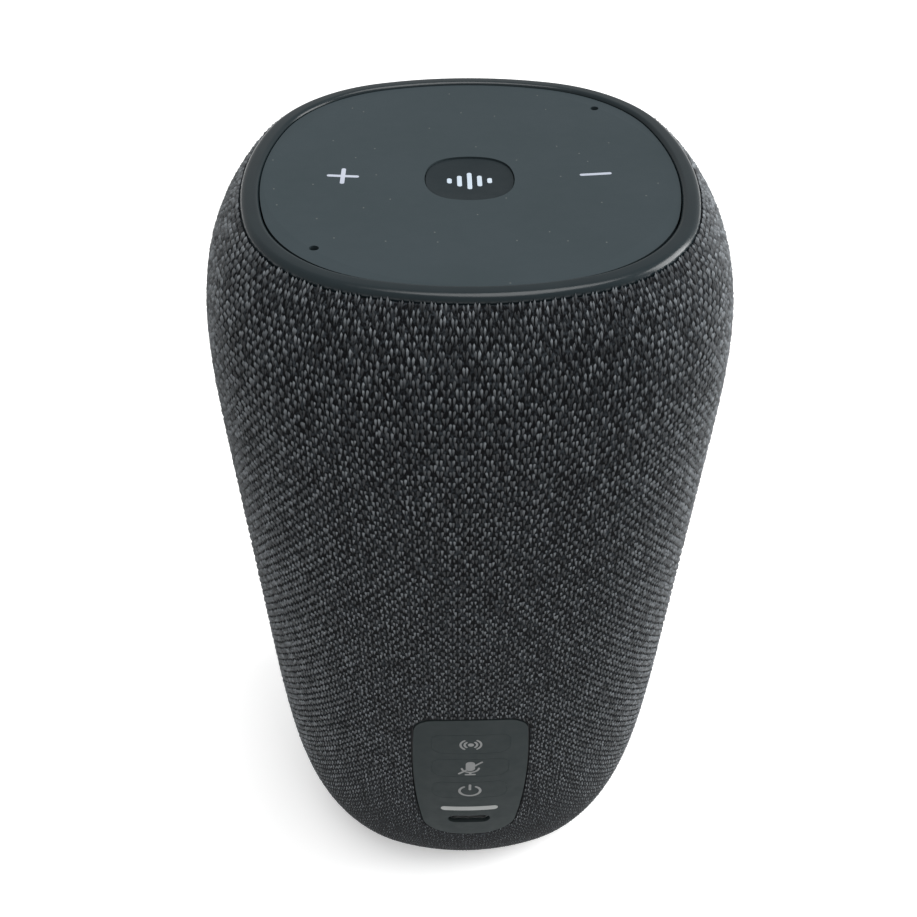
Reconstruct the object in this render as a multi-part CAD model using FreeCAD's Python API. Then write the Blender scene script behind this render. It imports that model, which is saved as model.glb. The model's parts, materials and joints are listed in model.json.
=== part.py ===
"""Voice-controlled smart home hub: a portable battery speaker in a knitted sleeve.

Frame: millimetres, +Z up, origin at the centre of the foot's underside. -Y is the side with the
control panel and charging socket, +Y the side that the driver faces, -X the volume-up side.
Every sub-part is written to parts/NODE.step.
"""

import FreeCAD, Part
import math
import os

V = FreeCAD.Vector

# ---- driving dimensions ------------------------------------------------------------------
HEIGHT = 170.0
HALF_WIDTH = 44.0            # widest half-width, a little above mid height
WAIST_Z = 100.0              # height of the widest section
SHOULDER_DROP, SHOULDER_POWER = 9.2, 8.4     # how the sides draw in towards the top
HEEL_DROP, HEEL_POWER = 10.4, 5.8            # and towards the foot
SIDE_ARC = 1.6               # radius of a section's side arc, over its half-width
CORNER_REACH = 1.066         # a section's half-diagonal, over its half-width

FABRIC = 1.0                 # knitted sleeve
SHELL_GAP = 0.1              # sleeve to grille shell
SHELL_IN = 3.2               # inner face of the grille shell, measured in from the sleeve

FOOT_TOP = 2.0
BASE_TOP = 4.0               # the base plate spans FOOT_TOP to BASE_TOP
SLEEVE_LOW = 2.4
SLEEVE_TOP = 168.9
SHELL_TOP = 165.9

RING_HALF, RING_INNER = 35.6, 32.7           # rubber ring round the top panel
PANEL_HALF = 32.55
PANEL_UNDER, PANEL_RIM = 166.4, 169.55
DISH = 1.35                  # depth of the hollow in the top panel
DECK_LOW, DECK_TOP = 163.0, 164.8
TOP_BOARD_LOW, TOP_BOARD_TOP = 159.0, 160.6
MIC_XY = 22.5                # microphones stand at (-MIC, -MIC) and (+MIC, +MIC)
MIC_HOLE = 0.7
VOLUME_X = 20.0
MARK_LENGTH, MARK_WIDTH = 5.05, 0.7
VOICE_HALF = 7.0             # voice key
VOICE_CLEAR = 0.15

REAR_LOW, REAR_HIGH = 28.1, 79.6             # control panel outline, all tangent arcs
REAR_HALF, REAR_WIDEST_Z = 11.7, 60.0
REAR_LOW_ARC, REAR_HIGH_ARC, REAR_SIDE_ARC = 30.0, 45.0, 200.0
REAR_LOW_CORNER, REAR_HIGH_CORNER = 8.5, 4.6
SKIN = 1.2                   # rubber skin of the control panel
KEY_Z = {"pairing_key": 70.6, "mic_mute_key": 61.2, "power_key": 51.6}
KEY_SIZE = (15.6, 7.0)
KEY_CORNER = 2.3
KEY_CLEAR = 0.06             # hairline round each key of the rubber skin
BAR_Z, BAR_SIZE = 42.8, (12.4, 1.9)
USB_Z = 37.2
USB_SHELL = (8.94, 3.26)     # outside of a Type-C receptacle
USB_MOUTH = (8.34, 2.56)     # inside of it
USB_FRONT, USB_BACK = -42.3, -35.0
KEY_BOARD_FRONT, KEY_BOARD_BACK = -36.2, -35.0

BOX_HALF = 39.0              # sealed speaker box
BOX_WALL = 2.2
BOX_LOW, BOX_TOP = 27.0, 148.0
BOX_STEP = 84.0              # below this the rear of the box is only a wall
BOX_SPLIT = 0.5              # half the gasket's thickness
BAFFLE = 32.0                # flat front and rear faces of the box

DRIVER_Z = 88.0
DRIVER_STRAIGHT = 42.0       # straight run of the racetrack driver
DRIVER_RIM = 22.5
RADIATOR_Z = 116.0
RADIATOR_STRAIGHT = 14.0
RADIATOR_RIM = 20.5

DECK_POSTS = [(sx * 27.0, sy * 9.0) for sx in (-1, 1) for sy in (-1, 1)]
BOARD_STANDS = [(sx * 16.0, sy * 16.0) for sx in (-1, 1) for sy in (-1, 1)]
BASE_BOSSES = [(sx * 23.0, sy * 19.0) for sx in (-1, 1) for sy in (-1, 1)]

PARTS = {}


# ---- shared shapes -----------------------------------------------------------------------
def half_width(z):
    """Half-width of the sleeve's outside at height z."""
    if z > WAIST_Z:
        return HALF_WIDTH - SHOULDER_DROP * ((z - WAIST_Z) / (HEIGHT - WAIST_Z)) ** SHOULDER_POWER
    return HALF_WIDTH - HEEL_DROP * ((WAIST_Z - z) / WAIST_Z) ** HEEL_POWER


def turned(x, y, quarter):
    for _ in range(quarter):
        x, y = -y, x
    return x, y


def squircle(half, z, inset=0.0):
    """A rounded square of eight tangent arcs, offset inwards by inset."""
    side = SIDE_ARC * half
    spare = side - CORNER_REACH * half
    bow = side - half
    corner_at = (spare ** 2 - bow ** 2) / (2 * bow - 2 * math.sqrt(2) * spare)
    corner = CORNER_REACH * half - math.sqrt(2) * corner_at
    meet = math.atan2(corner_at, corner_at + bow)
    edges = []
    for quarter in range(4):
        for cx, cy, radius, start, end in (
            (half - side, 0.0, side - inset, -meet, meet),
            (corner_at, corner_at, corner - inset, meet, math.pi / 2 - meet),
        ):
            points = []
            for a in (start, (start + end) / 2, end):
                x, y = turned(cx + radius * math.cos(a), cy + radius * math.sin(a), quarter)
                points.append(V(x, y, z))
            edges.append(Part.Arc(*points).toShape())
    return Part.Wire(edges)


def rim_edges(shape, half, z):
    """The edges of a shape that follow a squircle of this half-width at height z."""
    wanted = squircle(half, z)
    return [e for e in shape.Edges
            if e.Length > 1 and wanted.distToShape(Part.Vertex(e.valueAt(e.FirstParameter)))[0] < 0.01
            and wanted.distToShape(Part.Vertex(e.valueAt(e.LastParameter)))[0] < 0.01]


def squircle_prism(half, z0, z1, inset=0.0):
    return Part.Face(squircle(half, z0, inset)).extrude(V(0, 0, z1 - z0))


def body_loft(z0, z1, inset):
    """The hub's outer form between two heights, drawn in by inset."""
    between = [3, 6, 10, 15, 22, 32, 48, 72, 100, 122, 136, 145, 152, 157, 161, 164, 166.5]
    heights = [z0] + [z for z in between if z0 + 0.9 < z < z1 - 0.9] + [z1]
    return Part.makeLoft([squircle(half_width(z), z, inset) for z in heights], True, False)


def box(x0, x1, y0, y1, z0, z1):
    return Part.makeBox(x1 - x0, y1 - y0, z1 - z0, V(x0, y0, z0))


def rod(x, y, z0, z1, radius):
    return Part.makeCylinder(radius, z1 - z0, V(x, y, z0))


def rod_y(x, z, y0, y1, radius):
    return Part.makeCylinder(radius, y1 - y0, V(x, y0, z), V(0, 1, 0))


def rounded_xz(half_x, z0, z1, corner_low, corner_high, y0, y1):
    """A block along Y whose outline in XZ is a rectangle with rounded corners."""
    corners = [(half_x, z1, corner_high, 0), (-half_x, z1, corner_high, 90),
               (-half_x, z0, corner_low, 180), (half_x, z0, corner_low, 270)]
    points, edges = [], []
    for x, z, r, turn in corners:
        cx, cz = x - math.copysign(r, x), z + (r if turn >= 180 else -r)
        points.append([V(cx + r * math.cos(math.radians(turn + a)), y0,
                         cz + r * math.sin(math.radians(turn + a))) for a in (0, 45, 90)])
    for i, arc in enumerate(points):
        edges.append(Part.Arc(*arc).toShape())
        following = points[(i + 1) % 4][0]
        if (following - arc[2]).Length > 1e-6:
            edges.append(Part.makeLine(arc[2], following))
    return Part.Face(Part.Wire(edges)).extrude(V(0, y1 - y0, 0))


def slot_xz(size, z, y0, y1, corner=None):
    """A block along Y with a rounded outline, size (width, height), centred on X = 0."""
    corner = min(size) / 2 - 0.01 if corner is None else corner
    return rounded_xz(size[0] / 2, z - size[1] / 2, z + size[1] / 2, corner, corner, y0, y1)


def racetrack(profile, straight, z_mid):
    """Sweeps a closed profile of (radius, y) points round a racetrack path in XZ."""
    points = [V(r, y, 0) for r, y in profile]
    face = Part.Face(Part.makePolygon(points + points[:1]))
    solid = None
    for side in (0, 1):
        end = face.copy()
        end.rotate(V(0, 0, 0), V(0, 1, 0), 180 * side)
        run = end.copy()
        end.translate(V(0, 0, z_mid + (-straight / 2 if side else straight / 2)))
        centre = V(0, 0, z_mid + (-straight / 2 if side else straight / 2))
        cap = end.revolve(centre, V(0, 1, 0), -180)
        run.translate(V(0, 0, z_mid - straight / 2))
        side_run = run.extrude(V(0, 0, straight))
        piece = cap.fuse(side_run)
        solid = piece if solid is None else solid.fuse(piece)
    return solid.removeSplitter()


def racetrack_ring(inner, outer, y0, y1, straight, z_mid):
    return racetrack([(inner, y0), (outer, y0), (outer, y1), (inner, y1)], straight, z_mid)


def racetrack_block(radius, straight, z_mid, y0, y1):
    return slot_xz((2 * radius, 2 * radius + straight), z_mid, y0, y1)


def racetrack_wire(radius, straight, z_mid, y):
    """Two half circles and two lines, starting where four_arc_circle starts."""
    up, down = z_mid + straight / 2, z_mid - straight / 2
    return Part.Wire([
        Part.Arc(V(radius, y, up), V(0, y, up + radius), V(-radius, y, up)).toShape(),
        Part.makeLine(V(-radius, y, up), V(-radius, y, down)),
        Part.Arc(V(-radius, y, down), V(0, y, down - radius), V(radius, y, down)).toShape(),
        Part.makeLine(V(radius, y, down), V(radius, y, up)),
    ])


def four_arc_circle(radius, z_mid, y):
    """A circle of four arcs whose ends match racetrack_wire's corners."""
    lean = 20.0
    angles = [lean, 180 - lean, 180 + lean, 360 - lean, 360 + lean]
    edges = []
    for a, b in zip(angles, angles[1:]):
        ends = [math.radians(t) for t in (a, (a + b) / 2, b)]
        edges.append(Part.Arc(*[V(radius * math.cos(t), y, z_mid + radius * math.sin(t))
                                for t in ends]).toShape())
    return Part.Wire(edges)


def horn(small_radius, y_small, big_radius, straight, y_big, z_mid):
    """A solid that opens from a circle to a racetrack."""
    return Part.makeLoft([four_arc_circle(small_radius, z_mid, y_small),
                          racetrack_wire(big_radius, straight, z_mid, y_big)], True, True)


def cut(shape, *tools):
    for tool in tools:
        shape = shape.cut(tool)
    return shape


def join(*shapes):
    whole = shapes[0]
    for shape in shapes[1:]:
        whole = whole.fuse(shape)
    return whole.removeSplitter()


def screw(x, y, z_head, length, head=2.2, shank=1.2, down=True):
    """A pan head screw along Z whose head starts at z_head and whose shank runs away from it."""
    sign = -1 if down else 1
    head_solid = Part.makeCylinder(head, 1.2, V(x, y, z_head), V(0, 0, -sign))
    stem = Part.makeCylinder(shank, length, V(x, y, z_head), V(0, 0, sign))
    drive = Part.makeCylinder(head * 0.4, 0.7, V(x, y, z_head - sign * 1.2), V(0, 0, sign))
    return head_solid.fuse(stem).cut(drive)


def screw_y(x, z, y_head, length, outward, head, shank):
    """A flush screw along Y; outward is the way its head faces, +1 or -1."""
    head_solid = Part.makeCylinder(head, 1.0, V(x, y_head, z), V(0, -outward, 0))
    stem = Part.makeCylinder(shank, length, V(x, y_head, z), V(0, -outward, 0))
    drive = Part.makeCylinder(head * 0.4, 0.6, V(x, y_head, z), V(0, -outward, 0))
    return head_solid.fuse(stem).cut(drive)


def keep(name, *solids):
    """Stores one node; several solids make a group of separate solids."""
    flat = [s for shape in solids for s in shape.Solids]
    PARTS[name] = flat[0] if len(flat) == 1 else Part.makeCompound(flat)


# ---- casing ------------------------------------------------------------------------------
def corner_centre(end, end_radius, side, side_radius, corner, way):
    """Centre of a corner arc tangent inside an end arc and a side arc; way is +1 for up, -1 for down."""
    reach, other = end_radius - corner, side_radius - corner
    apart = math.hypot(side[0] - end[0], side[1] - end[1])
    along = (reach ** 2 - other ** 2 + apart ** 2) / (2 * apart)
    off = way * math.sqrt(reach ** 2 - along ** 2)
    ux, uz = (side[0] - end[0]) / apart, (side[1] - end[1]) / apart
    return end[0] + ux * along + uz * off, end[1] + uz * along - ux * off


def rear_outline(grow, y0=-60.0, y1=-20.0):
    """The control panel's outline as a block along Y, grown by grow all round."""
    high, low = (0.0, REAR_HIGH - REAR_HIGH_ARC), (0.0, REAR_LOW + REAR_LOW_ARC)
    side = (REAR_HALF - REAR_SIDE_ARC, REAR_WIDEST_Z)
    top_corner = corner_centre(high, REAR_HIGH_ARC, side, REAR_SIDE_ARC, REAR_HIGH_CORNER, 1)
    low_corner = corner_centre(low, REAR_LOW_ARC, side, REAR_SIDE_ARC, REAR_LOW_CORNER, -1)

    def heading(start, end):
        return math.atan2(end[1] - start[1], end[0] - start[0])

    turns = [heading(low, low_corner), heading(side, low_corner), heading(side, top_corner),
             heading(high, top_corner)]
    right = [(low_corner, REAR_LOW_CORNER, turns[0], turns[1]),
             (side, REAR_SIDE_ARC, turns[1], turns[2]),
             (top_corner, REAR_HIGH_CORNER, turns[2], turns[3])]
    left = [((-c[0], c[1]), r, math.pi - b, math.pi - a) for c, r, a, b in reversed(right)]
    arcs = (right + [(high, REAR_HIGH_ARC, turns[3], math.pi - turns[3])] + left
            + [(low, REAR_LOW_ARC, math.pi - turns[0], turns[0] + 2 * math.pi)])
    edges = []
    for (cx, cz), radius, start, end in arcs:
        points = [V(cx + (radius + grow) * math.cos(a), y0, cz + (radius + grow) * math.sin(a))
                  for a in (start, (start + end) / 2, end)]
        edges.append(Part.Arc(*points).toShape())
    return Part.Face(Part.Wire(edges)).extrude(V(0, y1 - y0, 0))


def make_sleeve():
    outer = body_loft(SLEEVE_LOW, SLEEVE_TOP, 0.0)
    inner = body_loft(SLEEVE_LOW - 1.2, SLEEVE_TOP + 0.9, FABRIC)
    mouth = squircle_prism(RING_HALF + 0.05, SLEEVE_TOP - 3, SLEEVE_TOP + 3)
    keep("fabric_sleeve", cut(outer, inner, mouth, rear_outline(0.3)))


def grille_slots(z_low, z_high, facing):
    """Rows of slots through the shell, facing +1 towards +Y or -1 towards -Y."""
    tools = []
    pitch_z, pitch_x, slot = 5.0, 9.0, (6.2, 2.6)
    rows = int((z_high - z_low) / pitch_z) + 1
    for row in range(rows):
        z = z_low + row * pitch_z
        shift = pitch_x / 2 if row % 2 else 0.0
        for column in range(-2, 3):
            x = column * pitch_x + shift
            if abs(x) > 18.5:
                continue
            tool = slot_xz(slot, z, 30.0, 50.0)
            if facing < 0:
                tool.rotate(V(0, 0, 0), V(0, 0, 1), 180)
            tool.translate(V(x, 0, 0))
            tools.append(tool)
    return Part.makeCompound(tools)


def make_shells():
    skin = cut(body_loft(BASE_TOP, SHELL_TOP, FABRIC + SHELL_GAP),
               body_loft(BASE_TOP - 1.2, SHELL_TOP + 0.9, SHELL_IN))
    limit = body_loft(BASE_TOP, 30.0, FABRIC + SHELL_GAP + 0.6)
    for facing, name, low, high in ((1, "grille_shell_front", 48.0, 132.0),
                                    (-1, "grille_shell_rear", 92.0, 140.0)):
        y0, y1 = (0.05, 60.0) if facing > 0 else (-60.0, -0.05)
        half = skin.common(box(-60, 60, y0, y1, 0, 180))
        for x, y in BASE_BOSSES:
            if y * facing > 0:
                lean = math.degrees(math.atan2(y, x))
                rib = box(0, 12, -1.2, 1.2, BASE_TOP, 11.0)
                rib.rotate(V(0, 0, 0), V(0, 0, 1), lean)
                rib.translate(V(x, y, 0))
                boss = rod(x, y, BASE_TOP, 11.8, 3.0).fuse(rib).common(limit)
                half = half.fuse(boss).cut(rod(x, y, BASE_TOP - 1, 11.3, 1.25))
        half = half.cut(grille_slots(low, high, facing))
        if facing < 0:
            half = half.cut(rear_outline(1.7))
        keep(name, half)


def make_base():
    plate = body_loft(FOOT_TOP, BASE_TOP - 0.02, FABRIC + SHELL_GAP)
    for x, y in BASE_BOSSES:
        plate = cut(plate, rod(x, y, 0, 10, 1.4), rod(x, y, FOOT_TOP - 1, FOOT_TOP + 1.2, 2.4))
    contacts = []
    for x in (-8.0, 0.0, 8.0):
        plate = plate.cut(rod(x, 0, 0, 10, 2.0))
        contacts.append(rod(x, 0, FOOT_TOP - 0.1, BASE_TOP + 1.4, 1.95))
    keep("base_plate", plate)
    keep("dock_contacts", *contacts)
    keep("base_screws", *[screw(x, y, FOOT_TOP + 1.2, 8.0, down=False) for x, y in BASE_BOSSES])
    foot = squircle_prism(31.8, 0.0, FOOT_TOP).cut(squircle_prism(24.0, -1, FOOT_TOP + 1))
    foot = foot.makeFillet(0.7, rim_edges(foot, 31.8, 0.0))
    keep("base_foot", foot)


# ---- top controls ------------------------------------------------------------------------
def dish_ball():
    """The ball that hollows the top panel."""
    radius = (PANEL_HALF ** 2 + DISH ** 2) / (2 * DISH)
    return Part.makeSphere(radius, V(0, 0, PANEL_RIM - DISH + radius))


def volume_marks(rise):
    """The plus and the minus as upright blocks, rise above and well below the panel's face."""
    def stroke(x, along_x):
        length, width = (MARK_LENGTH, MARK_WIDTH) if along_x else (MARK_WIDTH, MARK_LENGTH)
        body = box(x - length / 2, x + length / 2, -width / 2, width / 2, PANEL_UNDER, PANEL_RIM)
        edges = [e for e in body.Edges if abs(e.Vertexes[0].Z - e.Vertexes[-1].Z) > 1]
        return body.makeFillet(MARK_WIDTH / 2 - 0.02, edges)
    plus = stroke(-VOLUME_X, True).fuse(stroke(-VOLUME_X, False)).removeSplitter()
    blocks = [plus, stroke(VOLUME_X, True)]
    ball = dish_ball()
    ball.translate(V(0, 0, rise))
    return [b.cut(ball) for b in blocks]


def make_top():
    ring = join(squircle_prism(RING_HALF + 0.8, 165.9, 166.9),
                squircle_prism(RING_HALF, 166.9, HEIGHT),
                squircle_prism(35.0, 164.9, 165.9))
    ring = cut(ring, squircle_prism(RING_INNER, PANEL_UNDER, HEIGHT + 1),
               squircle_prism(30.5, 160, PANEL_UNDER))
    for sign in (-1, 1):
        ring = ring.cut(rod(sign * MIC_XY, sign * MIC_XY, 160, PANEL_UNDER, 2.6))
    ring = ring.makeFillet(1.1, rim_edges(ring, RING_HALF, HEIGHT))
    ring = ring.makeFillet(0.6, rim_edges(ring, RING_INNER, HEIGHT))
    keep("top_ring", ring)

    panel = squircle_prism(PANEL_HALF, PANEL_UNDER, PANEL_RIM + 0.2).cut(dish_ball())
    panel = panel.common(squircle_prism(PANEL_HALF, PANEL_UNDER, PANEL_RIM - 0.03))
    panel = panel.cut(squircle_prism(VOICE_HALF + VOICE_CLEAR, 160, 175))
    for sign in (-1, 1):
        panel = panel.cut(rod(sign * MIC_XY, sign * MIC_XY, 160, 175, MIC_HOLE))
    floor = dish_ball()
    floor.translate(V(0, 0, -0.25))
    marks = [m.common(floor) for m in volume_marks(0.0)]
    keep("top_panel", cut(panel, *marks))
    keep("volume_marks", *marks)

    key = join(squircle_prism(VOICE_HALF, 165.4, 168.0),
               squircle_prism(VOICE_HALF + 1.2, 165.4, PANEL_UNDER - 0.05),
               rod(0, 0, 163.7, 165.4, 2.0))
    radius = 60.0
    key = key.cut(Part.makeSphere(radius, V(0, 0, 167.6 + radius)))
    keep("voice_key", key)

    film = squircle_prism(30.0, PANEL_UNDER - 0.2, PANEL_UNDER)
    foam = squircle_prism(29.6, DECK_TOP, PANEL_UNDER - 0.2)
    deck = squircle_prism(35.0, DECK_LOW, DECK_TOP)
    board = squircle_prism(33.5, TOP_BOARD_LOW, TOP_BOARD_TOP)
    opening = squircle_prism(VOICE_HALF + 1.6, 150, 175)
    film, foam, deck = cut(film, opening), cut(foam, opening), cut(deck, opening)
    mics, boots = [], []
    for sign in (-1, 1):
        x = y = sign * MIC_XY
        tube = rod(x, y, 150, 175, 2.5)
        film, foam, deck = cut(film, tube), cut(foam, tube), cut(deck, tube)
        mics.append(box(x - 1.9, x + 1.9, y - 1.5, y + 1.5, TOP_BOARD_TOP, TOP_BOARD_TOP + 1.1))
        boots.append(rod(x, y, TOP_BOARD_TOP + 1.1, PANEL_UNDER, 2.4).cut(rod(x, y, 150, 175, 0.8)))
    keep("microphones", *mics)
    keep("mic_boots", *boots)

    for x, y in BOARD_STANDS:
        deck = deck.fuse(rod(x, y, TOP_BOARD_TOP, DECK_LOW, 2.4))
        deck = deck.cut(rod(x, y, TOP_BOARD_TOP - 1, DECK_TOP - 0.6, 1.05))
        board = board.cut(rod(x, y, 150, 170, 1.2))
    for x, y in DECK_POSTS:
        deck = deck.cut(rod(x, y, 150, 170, 1.4))
        board = board.cut(rod(x, y, 150, 170, 3.5))
        film, foam = film.cut(rod(x, y, 150, 175, 2.5)), foam.cut(rod(x, y, 150, 175, 2.5))
    keep("top_deck", deck)
    keep("top_board", board)
    keep("touch_film", film)
    keep("panel_foam", foam)
    keep("top_board_screws", *[screw(x, y, TOP_BOARD_LOW, 4.6, 1.8, 1.0, False) for x, y in BOARD_STANDS])
    keep("top_deck_screws", *[screw(x, y, DECK_TOP, 9.0) for x, y in DECK_POSTS])

    switch = box(-3, 3, -3, 3, TOP_BOARD_TOP, 162.6).fuse(rod(0, 0, 162.6, 163.15, 1.6))
    keep("voice_switch", switch)
    guide = squircle_prism(VOICE_HALF + 1.4, 161.6, 164.7).cut(rod(0, 0, 150, 170, 5.0))
    keep("light_guide", guide)
    keep("status_leds", *[box(x - 0.8, x + 0.8, y - 0.8, y + 0.8, TOP_BOARD_TOP, 161.3)
                          for x, y in ((6.3, 0), (0, 6.3), (-6.3, 0), (0, -6.3))])


# ---- speaker box, driver and passive radiator --------------------------------------------
def make_box():
    solid = squircle_prism(BOX_HALF, BOX_LOW, BOX_TOP)
    hollow = squircle_prism(BOX_HALF, BOX_LOW + BOX_WALL, BOX_TOP - BOX_WALL, BOX_WALL)
    front = solid.common(box(-60, 60, BOX_SPLIT, BAFFLE, 0, 180))
    front = front.cut(hollow.common(box(-60, 60, 0, BAFFLE - BOX_WALL, 0, 180)))
    front = front.cut(racetrack_block(19.2, DRIVER_STRAIGHT, DRIVER_Z, 20, 40))

    upper = solid.common(box(-60, 60, -BAFFLE, -BOX_SPLIT, BOX_STEP, 180))
    upper = upper.cut(hollow.common(box(-60, 60, -BAFFLE + BOX_WALL, 0, BOX_STEP + BOX_WALL, 180)))
    wall = solid.common(box(-60, 60, -BOX_SPLIT - BOX_WALL, -BOX_SPLIT, BOX_LOW, BOX_STEP + BOX_WALL))
    inner = BOX_HALF - BOX_WALL
    rear = upper.fuse(wall).removeSplitter()
    rear = rear.cut(racetrack_block(16.8, RADIATOR_STRAIGHT, RADIATOR_Z, -40, -20))

    for x, y in DECK_POSTS:
        post = rod(x, y, BOX_TOP, DECK_LOW, 3.0).cut(rod(x, y, DECK_LOW - 10, DECK_LOW, 1.25))
        if y > 0:
            front = front.fuse(post)
        else:
            rear = rear.fuse(post)
    for x, z in driver_screw_places():
        front = front.fuse(rod_y(x, z, BAFFLE - 7.5, BAFFLE - 0.5, 1.95))
        front = front.cut(rod_y(x, z, BAFFLE - 7, BAFFLE + 1, 1.15))
    for x, z in radiator_screw_places():
        rear = rear.fuse(rod_y(x, z, -BAFFLE + 0.5, -BAFFLE + 6.5, 2.4))
        rear = rear.cut(rod_y(x, z, -BAFFLE - 1, -BAFFLE + 6, 1.15))
    keep("speaker_box_front", front)
    keep("speaker_box_rear", rear)
    gasket = box(-BOX_HALF + 0.2, BOX_HALF - 0.2, -BOX_SPLIT, BOX_SPLIT, BOX_LOW, BOX_TOP)
    window = box(-inner, inner, -2, 2, BOX_LOW + BOX_WALL, BOX_TOP - BOX_WALL)
    keep("box_gasket", gasket.cut(window))


def driver_screw_places():
    return [(sx * 20.7, DRIVER_Z + sz * 19.0) for sx in (-1, 1) for sz in (-1, 1)]


def radiator_screw_places():
    return [(sx * 18.9, RADIATOR_Z + sz * 5.5) for sx in (-1, 1) for sz in (-1, 1)]


def make_driver():
    straight, z = DRIVER_STRAIGHT, DRIVER_Z
    gasket_top = BAFFLE + 0.6
    rim_top = BAFFLE + 2.4
    holes = [rod_y(x, hz, 20, 40, 1.2) for x, hz in driver_screw_places()]
    sinks = [rod_y(x, hz, rim_top - 1.0, 40, 1.7) for x, hz in driver_screw_places()]
    gasket = racetrack_ring(19.2, DRIVER_RIM, BAFFLE, gasket_top, straight, z)
    keep("driver_gasket", cut(gasket, *holes))

    rim = racetrack_ring(18.9, DRIVER_RIM, gasket_top, rim_top, straight, z)
    bowl_back, bowl_front = 19.0, 29.0
    bowl = horn(17.6, bowl_back, 18.4, straight, bowl_front, z)
    bowl = bowl.cut(horn(16.4, bowl_back - 0.01, 17.3, straight, bowl_front + 0.01, z))
    for sz in (-1, 1):
        for x in (-7.0, 7.0):
            bowl = bowl.cut(box(x - 4.5, x + 4.5, 20.5, 28.0, z + sz * 30 - 16, z + sz * 30 + 16))
    bowl = cut(bowl, box(-30, 30, 22.5, 28.0, z - 11, z - 2), box(-30, 30, 22.5, 28.0, z + 2, z + 11))
    seat = rod_y(0, z, 17.6, bowl_back, 17.6).cut(rod_y(0, z, 10, 30, 11.3))
    ledge = rod_y(0, z, bowl_back, 21.0, 15.8).cut(rod_y(0, z, 10, 30, 14.4))
    bridge = join(racetrack_ring(17.3, 18.4, bowl_front, gasket_top, straight, z),
                  racetrack_ring(17.3, 19.0, gasket_top, rim_top, straight, z))
    basket = join(rim, bridge, bowl, seat, ledge)
    keep("driver_basket", cut(basket, *holes, *sinks))
    keep("driver_screws", *[screw_y(x, hz, rim_top, 7.5, 1, 1.6, 1.1)
                            for x, hz in driver_screw_places()])

    yoke = rod_y(0, z, 6.6, 17.6, 15.0).cut(rod_y(0, z, 8.6, 20, 11.0))
    keep("driver_yoke", yoke)
    keep("driver_magnet", rod_y(0, z, 8.6, 14.6, 9.0))
    keep("driver_pole_plate", rod_y(0, z, 14.6, 17.6, 9.6))
    keep("coil_former", rod_y(0, z, 11.4, 26.0, 10.2).cut(rod_y(0, z, 5, 30, 10.0)))
    keep("voice_coil", rod_y(0, z, 12.1, 17.4, 10.7).cut(rod_y(0, z, 5, 30, 10.2)))

    steps = [(10.25, 21.0), (11.3, 21.0), (12.0, 21.5), (12.7, 21.0), (13.4, 21.5), (14.1, 21.0),
             (15.8, 21.0)]
    spider = [(r, y + 0.35) for r, y in reversed(steps)]
    keep("driver_spider", racetrack(steps + spider, 0.02, z))

    cone = horn(10.9, 24.6, 15.9, straight, rim_top, z)
    front_face = horn(10.9, 25.3, 15.9, straight, rim_top + 0.7, z)
    keep("driver_cone", cut(cone, front_face, rod_y(0, z, 20, 40, 10.25)))
    cap_rise, cap_base = 3.2, 10.2
    ball = (cap_base ** 2 + cap_rise ** 2) / (2 * cap_rise)
    cap = Part.makeSphere(ball, V(0, 26.0 + cap_rise - ball, z))
    cap = cap.cut(Part.makeSphere(ball - 0.5, V(0, 26.0 + cap_rise - ball, z)))
    keep("driver_dust_cap", cap.common(rod_y(0, z, 26.0, 40, 20)))
    keep("driver_surround", racetrack(roll_profile(15.9, 18.9, rim_top, 1), straight, z))


def roll_profile(inner, outer, y, sign):
    """The half roll of a rubber surround with a flat foot each side, standing on plane y."""
    middle, radius, wall, foot = (inner + outer) / 2, (outer - inner) / 2, 0.45, 0.9
    count = 8
    over = [(middle - radius * math.cos(math.pi * i / count),
             y + sign * (wall + radius * math.sin(math.pi * i / count))) for i in range(count + 1)]
    under_radius = radius - wall
    under = [(middle + under_radius * math.cos(math.pi * i / count),
              y + sign * under_radius * math.sin(math.pi * i / count)) for i in range(count + 1)]
    return ([(inner - foot, y), (inner - foot, y + sign * wall)] + over
            + [(outer + foot, y + sign * wall), (outer + foot, y)] + under)


def make_radiator():
    straight, z, face = RADIATOR_STRAIGHT, RADIATOR_Z, -BAFFLE - 2.0
    frame = racetrack_ring(16.0, RADIATOR_RIM, face, -BAFFLE, straight, z)
    for x, hz in radiator_screw_places():
        frame = cut(frame, rod_y(x, hz, -40, -20, 1.2), rod_y(x, hz, -40, face + 1.0, 2.0))
    keep("radiator_frame", frame)
    keep("radiator_screws", *[screw_y(x, hz, face, 6.5, -1, 1.6, 1.1)
                              for x, hz in radiator_screw_places()])
    plate = racetrack_block(12.4, straight, z, face, face + 1.4)
    weight = racetrack_block(7.5, straight, z, face + 1.4, face + 3.6)
    keep("radiator_plate", join(plate, weight))
    keep("radiator_surround", racetrack(roll_profile(12.4, 16.2, face, -1), straight, z))


# ---- power and main electronics ----------------------------------------------------------
CELL_RADIUS, CELL_LENGTH, CELL_LOW = 9.2, 65.0, 16.0
CELL_X, CELL_Y = 10.4, -13.4
MAIN_BOARD = (-26.4, -24.8)


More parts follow.
